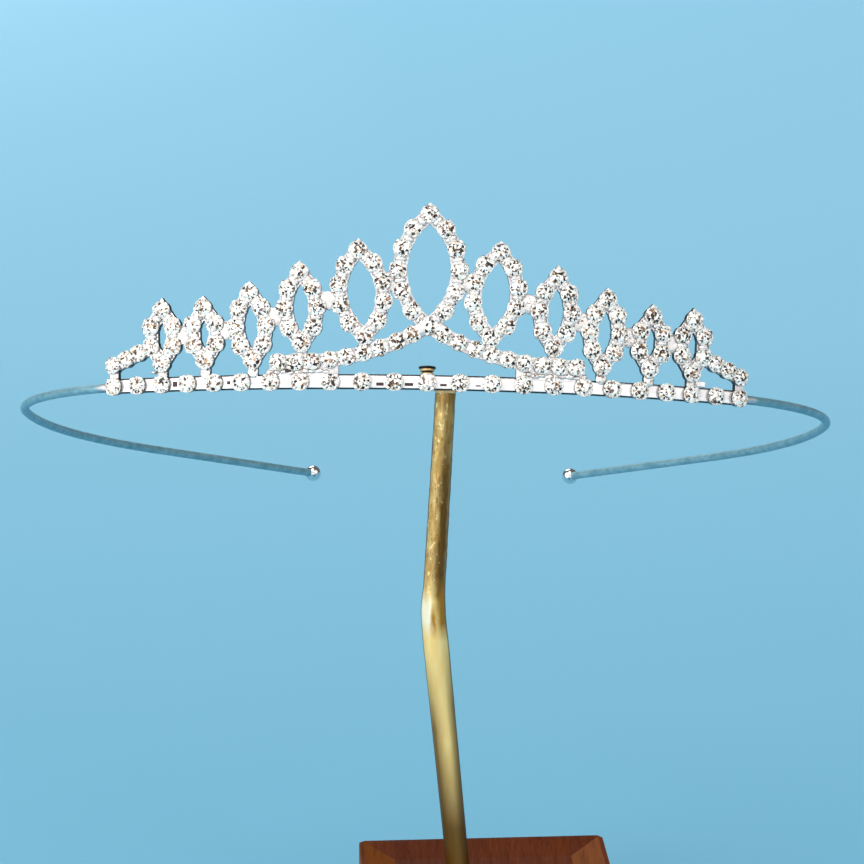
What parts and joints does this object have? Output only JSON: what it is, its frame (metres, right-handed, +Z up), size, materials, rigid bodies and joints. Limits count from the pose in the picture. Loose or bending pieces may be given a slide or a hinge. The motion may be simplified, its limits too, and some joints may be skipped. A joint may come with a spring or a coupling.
{
  "type": "mini crown headband on a display stand",
  "caption": "Thin wire headband carrying a small tiara of pointed loops of round cut stones in cups, held by a bent brass rod on a wooden block.",
  "frame": {"origin": "middle of the wooden block's underside, which rests on the table", "axes": "+Z up, -Y towards the front, where the crown faces; the headband's arms reach back along +Y; +X is to the viewer's right"},
  "size_m": [0.1348, 0.1334, 0.1299],
  "materials": {
    "silver_metal": "bright silver plate",
    "tip_bead": "bright polished silver plate",
    "crystal": "clear cut crystal with a mirrored back",
    "brass": "hammered and aged",
    "wood": "dark reddish-brown, satin"
  },
  "bodies": {
    "root": {"headband_frame": "silver_metal", "left_tip": "tip_bead", "right_tip": "tip_bead", "base_stones": "crystal", "swag_stones": "crystal", "slope_stones": "crystal", "centre_loop_stones": "crystal", "left_loop_1_stones": "crystal", "left_loop_2_stones": "crystal", "left_loop_3_stones": "crystal", "left_loop_4_stones": "crystal", "left_loop_5_stones": "crystal", "right_loop_1_stones": "crystal", "right_loop_2_stones": "crystal", "right_loop_3_stones": "crystal", "right_loop_4_stones": "crystal", "right_loop_5_stones": "crystal", "stand_rod": "brass", "stand_block": "wood"}
  },
  "joints": []
}
